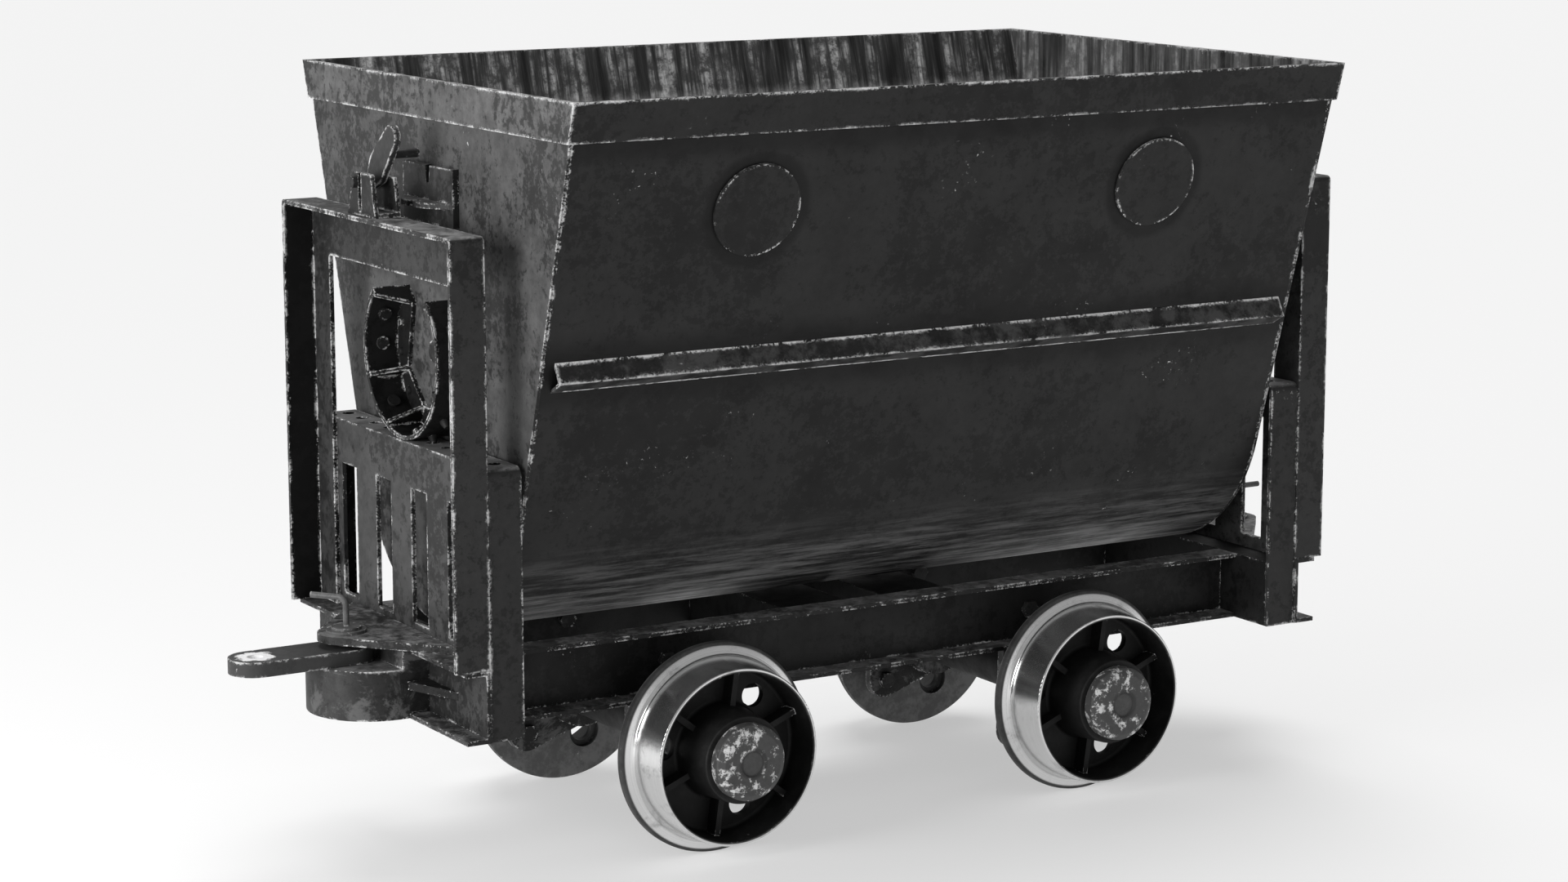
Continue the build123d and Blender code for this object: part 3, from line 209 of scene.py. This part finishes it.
def ends_and_tops_lit(s, colour, end_light_grey):
    """Painted light: the faces that look along the cart are painted lighter in a mottle, and the
    tops paler.
    """
    nx, _, nz = s.split(s.facing)
    ends = s.step(s.unsigned(nx), 0.55, 0.85)
    mottle = s.step(s.noise(22.0, 8.0, 0.78), 0.34, 0.66)
    colour = s.mix(ends, colour, s.mix(mottle, end_light_grey * 0.6, end_light_grey * 1.25))
    tops = s.step(nz, 0.6, 0.9)
    return s.mix(tops, colour, s.mix(s.step(s.noise(30.0, 8.0, 0.75), 0.3, 0.7), 0.04, 0.26))


def painted_steel(name, paint, wear=0.25, chip=0.0, grime=0.6, rough=0.5, lit_ends=1.0, extra=None):
    """Old dark paint over steel: sooty patches, chips, bare edges, and painted light on ends and
    tops.

    lit_ends is how many times lighter than the paint the ends are painted, as painted light; 1
    leaves that painted light out, on the tops too.
    extra, if given, takes the shader and the paint's colour and bare mask and returns both changed.
    """
    s = Shader(name)
    fine = s.noise(60.0, 8.0, 0.75)
    colour = s.mix(s.step(fine, 0.30, 0.70), paint * 0.85, paint * 1.15)
    # Painted light: the ends and the tops are painted lighter than the paint.
    if lit_ends != 1.0:
        colour = ends_and_tops_lit(s, colour, paint * lit_ends)
    colour = grime_on(s, colour, grime, paint * 0.30)
    bare = s.larger(bare_edges(s, PAINT_EDGE_REACH, wear), chips(s, chip))
    if extra:
        colour, bare = extra(s, colour, bare)
    steel = s.mix(s.noise(200.0, 3.0, 0.6), BARE * 0.75, 1.0)
    relief = s.minus(s.times(fine, 0.6), s.times(bare, 0.8))
    s.set(
        Base_Color=s.mix(bare, colour, steel),
        Roughness=s.step(s.noise(11.0, 6.0, 0.7), 0.3, 0.7, rough - 0.08, rough + 0.14),
        Normal=s.bump(relief, 0.35, 0.0010, s.rounded(SOFT_EDGE, SOFT_SAMPLES)),
        Specular_IOR_Level=0.22,
    )
    return s.material


# ---- Tub ----------------------------------------------------------------------------------------

TUB_PAINT = 0.016
SIDE_SLOPE = math.radians(16.43)    # of the side walls, from upright
MIDDLE_SHARE = 0.58                 # height of the tub's middle in its own height
WALL_SKIN = 0.02                    # the masks' step from the outside of a wall to its inside
SCRAPED_DEPTH = 0.55                # down from the top, where the scrapes are fullest
SCRAPED_TOP = 0.05
BOTTOM_FROM = 0.02                  # the band of painted light from the floor on the round bottom, up from its lowest line
BOTTOM_TO = 0.21

shell_low, shell_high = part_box("bucket_shell")
tub_middle = (0.0, 0.0, shell_low.z + MIDDLE_SHARE * (shell_high.z - shell_low.z))
band_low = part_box("rim_band")[0]
rib_middle = sum(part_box("side_rib_left"), Vector()) / 2
disc_low, disc_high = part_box("side_discs")
disc_radius = (disc_high.z - disc_low.z) / 2 / math.cos(SIDE_SLOPE)
disc_middle = Vector((disc_high.x - disc_radius, 0.0, (disc_low.z + disc_high.z) / 2))


def scraped_inside(s, colour, bare):
    """Inside the tub, bright scrapes run down the walls; the outside keeps its paint."""
    outward = s.vector("DOT_PRODUCT", s.facing, s.vector("SUBTRACT", s.place, tub_middle))
    inside = s.below(outward, -WALL_SKIN, 0.0)
    x, y, z = s.split(s.place)
    nx = s.split(s.facing)[0]
    end_wall = s.step(s.unsigned(nx), 0.6, 0.8)
    along = s.plus(x, s.times(y, end_wall))
    fine = s.join(s.times(along, 55.0), 0.0, s.times(z, 3.0))
    broad = s.join(s.times(along, 13.0), 0.0, s.times(z, 1.6))
    streak = s.times(s.noise(1.0, 5.0, 0.7, place=fine), s.noise(1.0, 3.0, 0.6, place=broad))
    flakes = s.step(s.noise(38.0, 6.0, 0.75), 0.40, 0.62)
    height = s.step(z, shell_high.z - SCRAPED_DEPTH, shell_high.z - SCRAPED_TOP, 0.55, 1.0)
    scraped = s.times(s.times(s.step(streak, 0.22, 0.36), flakes), height)
    scraped = s.times(scraped, s.times(inside, s.step(end_wall, 0.0, 1.0, 1.0, 0.5)))
    # The end walls are darker than the side walls, on their streaks and between them.
    gaps = s.mix(end_wall, 0.07, 0.010)
    streaks = s.mix(end_wall, 0.95, 0.20)
    worn = s.mix(s.step(streak, 0.13, 0.33), gaps, streaks)
    colour = s.mix(s.times(inside, 0.7), colour, worn)
    return colour, s.larger(bare, s.times(scraped, 0.85))


def shell_marks(s, colour, bare):
    """Scrapes inside; outside, painted shade round the discs, along the rib and under the band.

    The round bottom is painted lighter in fine lines that run along the tub, as painted light from
    the floor.
    """
    colour, bare = scraped_inside(s, colour, bare)
    x, y, z = s.split(s.place)
    # Painted shade: dark halos round the discs, along the rib and under the band, broken up by
    # noise.
    beside_disc = s.unsigned(s.minus(s.unsigned(x), disc_middle.x))
    up_from_disc = s.minus(z, disc_middle.z)
    disc_gap = s.vector("LENGTH", s.join(beside_disc, up_from_disc, 0.0))
    rib_gap = s.unsigned(s.minus(z, rib_middle.z))
    contact_shade = s.below(disc_gap, disc_radius + 0.002, disc_radius + 0.035)
    contact_shade = s.larger(contact_shade, s.step(rib_gap, 0.02, 0.10, 0.85, 0.0))
    contact_shade = s.larger(contact_shade, s.step(z, band_low.z - 0.07, band_low.z, 0.0, 0.9))
    contact_shade = s.plus(contact_shade, s.minus(s.noise(30.0, 10.0, 0.78), 0.62))
    colour = s.mix(s.times(s.step(contact_shade, 0.0, 0.7), 0.85), colour, 0.003)
    # Painted light: the round bottom is lighter in fine lines, standing in for light from the floor.
    low = s.below(z, shell_low.z + BOTTOM_FROM, shell_low.z + BOTTOM_TO)
    lines = s.join(s.times(x, 5.0), s.times(y, 60.0), s.times(z, 60.0))
    painted_light = s.step(s.noise(1.0, 6.0, 0.75, place=lines), 0.40, 0.66)
    return s.mix(s.times(s.times(low, painted_light), 0.8), colour, 0.24), bare


def flaked(s, colour, bare):
    """Paint rubbed thin on the ribs, with pale flakes."""
    thin = s.step(s.noise(16.0, 9.0, 0.76), 0.42, 0.60)
    return s.mix(s.times(thin, 0.8), colour, 0.075), bare


shell_paint = painted_steel(
    "shell_paint", TUB_PAINT, wear=0.50, chip=0.02, grime=0.75, extra=shell_marks
)
end_paint = painted_steel(
    "end_paint", TUB_PAINT, wear=0.70, chip=0.01, grime=0.65, lit_ends=5.0, extra=scraped_inside
)
band_paint = painted_steel("band_paint", TUB_PAINT, wear=0.85, grime=0.7, lit_ends=6.6)
trim_paint = painted_steel("trim_paint", TUB_PAINT, wear=0.55, chip=0.01, grime=0.6, lit_ends=3.0)
rib_paint = painted_steel("rib_paint", TUB_PAINT, wear=0.95, chip=0.03, grime=0.6, extra=flaked)
rocker_paint = painted_steel("rocker_paint", 0.009, wear=0.70, chip=0.02, grime=0.8)
rivet_paint = painted_steel("rivet_paint", 0.014, wear=0.15, grime=0.6)

# ---- Frame --------------------------------------------------------------------------------------

stand_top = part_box("rocker_stand_rear")[1].z


def shaded_inside(s, colour, bare):
    """The inner faces of the posts are painted near black, as painted shade inside the channels."""
    y = s.split(s.place)[1]
    ny = s.split(s.facing)[1]
    # Painted shade on the inner faces, those that look towards the cart's middle.
    inner = s.below(s.times(y, ny), -0.25, -0.15)
    return s.mix(s.times(inner, 0.85), colour, 0.002), bare


def lit_rail_top(s, colour, bare):
    """The rail on the stand's top is painted lighter in patches, as painted light from above."""
    z = s.split(s.place)[2]
    nz = s.split(s.facing)[2]
    # Painted light: the up-facing top of the rail is lighter in patches.
    top = s.times(s.step(z, stand_top - 0.004, stand_top - 0.001), s.step(nz, 0.8, 0.95))
    painted_light = s.times(top, s.step(s.noise(24.0, 6.0, 0.7), 0.36, 0.60))
    return s.mix(s.times(painted_light, 0.8), colour, 0.20), bare


def blotched(s, colour, bare):
    """Large pale patches where the casting's skin has been knocked off."""
    patch = s.step(s.noise(13.0, 8.0, 0.75, distortion=0.4), 0.50, 0.60)
    return s.mix(s.times(patch, 0.7), colour, 0.13), bare


frame_paint = painted_steel("frame_paint", 0.015, wear=0.52, chip=0.01, grime=0.7, lit_ends=3.0)
dark_paint = painted_steel("dark_paint", 0.014, wear=0.35, chip=0.01, grime=0.8)
portal_paint = painted_steel(
    "portal_paint", 0.028, wear=0.80, chip=0.02, grime=0.7, lit_ends=1.35, extra=shaded_inside
)
stand_paint = painted_steel(
    "stand_paint", 0.022, wear=0.65, chip=0.03, grime=0.7, lit_ends=2.4, extra=lit_rail_top
)
cast_paint = painted_steel(
    "cast_paint", 0.022, wear=0.6, chip=0.02, grime=0.5, lit_ends=2.0, extra=blotched
)

# ---- Link and small steel pieces ----------------------------------------------------------------

link_low, link_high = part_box("link")
link_half = (link_high.y - link_low.y) / 2
link_eye = (link_low.x + link_half, 0.0, link_high.z)


def worn_eye(s, colour, bare):
    """Bare metal round the free eye of the link."""
    reach = s.vector("DISTANCE", s.place, link_eye)
    ragged = s.times(s.noise(60.0, 5.0, 0.7), 0.05)
    worn = s.below(s.minus(reach, ragged), 0.004, 0.010)
    return s.mix(0.4, colour, 0.06), s.larger(bare, worn)


link_steel = painted_steel("link_steel", 0.04, wear=0.6, chip=0.03, grime=0.4, extra=worn_eye)
rod_steel = painted_steel("rod_steel", 0.11, wear=0.5, chip=0.05, grime=0.35, rough=0.42)
bolt_steel = painted_steel("bolt_steel", 0.03, wear=0.35, chip=0.02, grime=0.6)
lever_steel = painted_steel("lever_steel", 0.035, wear=0.95, chip=0.02, grime=0.3, rough=0.45)

BRONZE_DARK = (0.16, 0.10, 0.045, 1.0)
BRONZE_LIGHT = (0.42, 0.29, 0.13, 1.0)


def bronze(name):
    """Plain bush metal, slightly mottled."""
    s = Shader(name)
    tint = s.noise(60.0, 5.0, 0.7)
    s.set(
        Base_Color=s.mix(tint, BRONZE_DARK, BRONZE_LIGHT),
        Roughness=s.step(tint, 0.3, 0.7, 0.32, 0.5),
        Normal=s.bump(tint, 0.2, 0.0006),
        Metallic=1.0,
    )
    return s.material


bush_bronze = bronze("bush_bronze")

# ---- Wheels -------------------------------------------------------------------------------------

FLANGE_FACE = 0.300     # outer face of the flanges, from the middle of the track


def wheel_iron(name, wheel):
    """Cast wheel: bright rolled tread, chipped flange, very dark recess behind the hub cap."""
    low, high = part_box(wheel)
    centre = (low + high) / 2
    flange = (high.z - low.z) / 2
    s = Shader(name)
    x, y, z = s.split(s.place)
    radius = s.off_axis(x, z, centre)
    out = s.unsigned(y)

    def beyond(first_share, last_share, start=0.0, end=1.0):
        """Step from start to end between two shares of the flange's radius."""
        return s.step(radius, flange * first_share, flange * last_share, start, end)

    tread = s.times(beyond(0.812, 0.822), s.step(out, FLANGE_FACE - 0.002, FLANGE_FACE + 0.001))
    tread = s.times(tread, beyond(0.955, 0.975, 1.0, 0.0))
    recess = s.times(beyond(0.80, 0.81, 1.0, 0.0), s.step(out, FLANGE_FACE, FLANGE_FACE + 0.010))
    turned = s.join(s.times(radius, 400.0), s.times(y, 420.0), 0.0)
    lines = s.noise(1.0, 3.0, 0.6, place=turned)
    stain = s.step(s.noise(17.0, 7.0, 0.72), 0.52, 0.70)
    mottle = s.noise(30.0, 8.0, 0.75)
    skin = s.mix(s.step(mottle, 0.35, 0.65), 0.030, 0.062)
    back = s.below(out, FLANGE_FACE - 0.014, FLANGE_FACE - 0.010)
    skin = s.mix(back, skin, s.mix(s.step(mottle, 0.4, 0.6), 0.09, 0.15))
    skin = s.mix(recess, skin, s.mix(s.step(mottle, 0.45, 0.7), 0.004, 0.013))
    rolled = s.mix(s.times(stain, 0.45), s.mix(lines, 0.62, 0.82), 0.10)
    bare = s.times(bare_edges(s, IRON_EDGE_REACH, 0.62), beyond(0.72, 0.78))
    bare = s.larger(bare, s.times(chips(s, 0.02), 0.5))
    relief = s.plus(s.times(mottle, 0.5), s.times(lines, 0.2))
    s.set(
        Base_Color=s.mix(bare, s.mix(tread, skin, rolled), BARE),
        Metallic=s.larger(s.times(tread, 0.95), s.times(bare, 0.35)),
        Roughness=s.plus(s.step(tread, 0.0, 1.0, 0.62, 0.17), s.times(stain, 0.10)),
        Normal=s.bump(relief, 0.3, 0.0012),
        Specular_IOR_Level=0.35,
    )
    return s.material


def cap_metal(name, cap):
    """Worn cap: grey middle inside a dark ring, pale patches over the rest."""
    low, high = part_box(cap)
    centre = (low + high) / 2
    rim = (high.z - low.z) / 2
    s = Shader(name)
    x, _, z = s.split(s.place)
    radius = s.off_axis(x, z, centre)
    patch = s.step(s.noise(42.0, 7.0, 0.72), 0.52, 0.60)
    outer = s.step(radius, rim * 0.30, rim * 0.42)
    ring = s.times(s.step(radius, rim * 0.26, rim * 0.31), s.below(radius, rim * 0.38, rim * 0.44))
    base = s.mix(s.noise(120.0, 5.0, 0.7), 0.03, 0.085)
    base = s.mix(s.times(ring, 0.75), base, 0.02)
    bare = s.times(patch, s.times(outer, s.step(s.noise(150.0, 4.0, 0.7), 0.38, 0.5)))
    bare = s.larger(s.times(bare, 0.8), bare_edges(s, CAP_EDGE_REACH, 0.4))
    s.set(
        Base_Color=s.mix(bare, base, BARE),
        Metallic=s.times(bare, 0.4),
        Roughness=s.step(patch, 0.0, 1.0, 0.6, 0.42),
        Normal=s.bump(patch, 0.35, 0.001),
    )
    return s.material


# ---- Materials onto the model -------------------------------------------------------------------


def dress(material, *names):
    """Put one material in every slot of the named pieces."""
    for name in names:
        for slot in nodes[name].material_slots:
            slot.material = material


dress(shell_paint, "bucket_shell")
dress(end_paint, "bucket_end_front", "bucket_end_rear")
dress(band_paint, "rim_band")
dress(rib_paint, "side_rib_left", "side_rib_right")
dress(trim_paint, "side_discs", "latch_keepers")
dress(rocker_paint, "rocker_front", "rocker_rear")
dress(rivet_paint, "rocker_pegs", "rocker_rivets")
dress(frame_paint, "side_sill_left", "side_sill_right")
dress(dark_paint, "cross_member_front", "cross_member_rear", "end_beam_front", "end_beam_rear")
dress(dark_paint, "buffer_gussets")
dress(bolt_steel, "axle_nuts", "axle_clamp_bolts", "sill_bolts", "latch_bolts", "centre_pins")
dress(rod_steel, "draw_pin_front", "draw_pin_rear", "pin_washers")
dress(link_steel, "link")
for end in ENDS:
    dress(frame_paint, f"end_sill_{end}", f"coupler_plate_{end}")
    dress(stand_paint, f"rocker_stand_{end}")
    dress(portal_paint, f"portal_{end}", f"latch_bracket_{end}")
    dress(cast_paint, f"buffer_block_{end}")
    dress(dark_paint, f"axle_{end}")
    dress(lever_steel, f"latch_lever_{end}")
    for side in SIDES:
        wheel = f"{end}_{side}"
        dress(wheel_iron(f"wheel_iron_{wheel}", f"wheel_{wheel}"), f"wheel_{wheel}")
        dress(cap_metal(f"cap_metal_{wheel}", f"hub_cap_{wheel}"), f"hub_cap_{wheel}")
        dress(bush_bronze, f"bearing_{wheel}")
        dress(cast_paint, f"axle_bracket_{wheel}")

# ---- Stage --------------------------------------------------------------------------------------

WHITE = (1.0, 1.0, 1.0, 1.0)
FLOOR_GREY = (0.45, 0.45, 0.45, 1.0)
FLOOR_GLOW = 0.47          # lifts the floor to near white
FLOOR_SIZE = 120.0
WORLD_STRENGTH = 0.38
KEY_PLACE, KEY_TARGET, KEY_SIZE, KEY_POWER = (-4.4, -0.7, 1.6), (-0.8, 0, 0.9), (2.4, 2.0), 125
SUN_PLACE, SUN_STRENGTH, SUN_ANGLE = (0.9, 1.8, 5), 1.95, math.radians(42)

half_floor = FLOOR_SIZE / 2
corners = [(-1, -1), (1, -1), (1, 1), (-1, 1)]
floor_mesh = bpy.data.meshes.new("floor")
floor_mesh.from_pydata([(x * half_floor, y * half_floor, 0) for x, y in corners], [], [(0, 1, 2, 3)])
floor = bpy.data.objects.new("floor", floor_mesh)
bpy.context.scene.collection.objects.link(floor)

floor_material = bpy.data.materials.new("floor_white")
floor_material.use_nodes = True
floor_surface = floor_material.node_tree.nodes["Principled BSDF"]
floor_surface.inputs["Base Color"].default_value = FLOOR_GREY
floor_surface.inputs["Roughness"].default_value = 1.0
floor_surface.inputs["Specular IOR Level"].default_value = 0.0
floor_surface.inputs["Emission Color"].default_value = WHITE
floor_surface.inputs["Emission Strength"].default_value = FLOOR_GLOW
floor_mesh.materials.append(floor_material)

world = bpy.data.worlds.new("studio")
bpy.context.scene.world = world
world.use_nodes = True
world.node_tree.nodes["Background"].inputs["Color"].default_value = WHITE
world.node_tree.nodes["Background"].inputs["Strength"].default_value = WORLD_STRENGTH


def aim(light, place, target):
    """Put a light in the scene, looking at a point."""
    bpy.context.scene.collection.objects.link(light)
    light.location = place
    light.rotation_euler = (Vector(target) - Vector(place)).to_track_quat("-Z", "Y").to_euler()


key = bpy.data.lights.new("key_left", "AREA")
key.shape = "RECTANGLE"
key.size, key.size_y = KEY_SIZE
key.energy = KEY_POWER
aim(bpy.data.objects.new("key_left", key), KEY_PLACE, KEY_TARGET)
overhead = bpy.data.lights.new("overhead", "SUN")
overhead.energy = SUN_STRENGTH
overhead.angle = SUN_ANGLE
aim(bpy.data.objects.new("overhead", overhead), SUN_PLACE, (0, 0, 0))

# ---- Camera -------------------------------------------------------------------------------------

CAMERA_PLACE = (-3.6484, -5.9074, 1.9308)
CAMERA_TURN = (79.713, 0.04, -31.142)    # degrees
CAMERA_LENS = 85.03                      # mm on a 36 mm wide sensor
SENSOR_WIDTH = 36.0

camera_data = bpy.data.cameras.new("camera")
camera_data.lens = CAMERA_LENS
camera_data.sensor_width = SENSOR_WIDTH
camera = bpy.data.objects.new("camera", camera_data)
bpy.context.scene.collection.objects.link(camera)
camera.location = CAMERA_PLACE
camera.rotation_euler = [math.radians(turn) for turn in CAMERA_TURN]
bpy.context.scene.camera = camera
bpy.context.scene.view_settings.view_transform = "Standard"
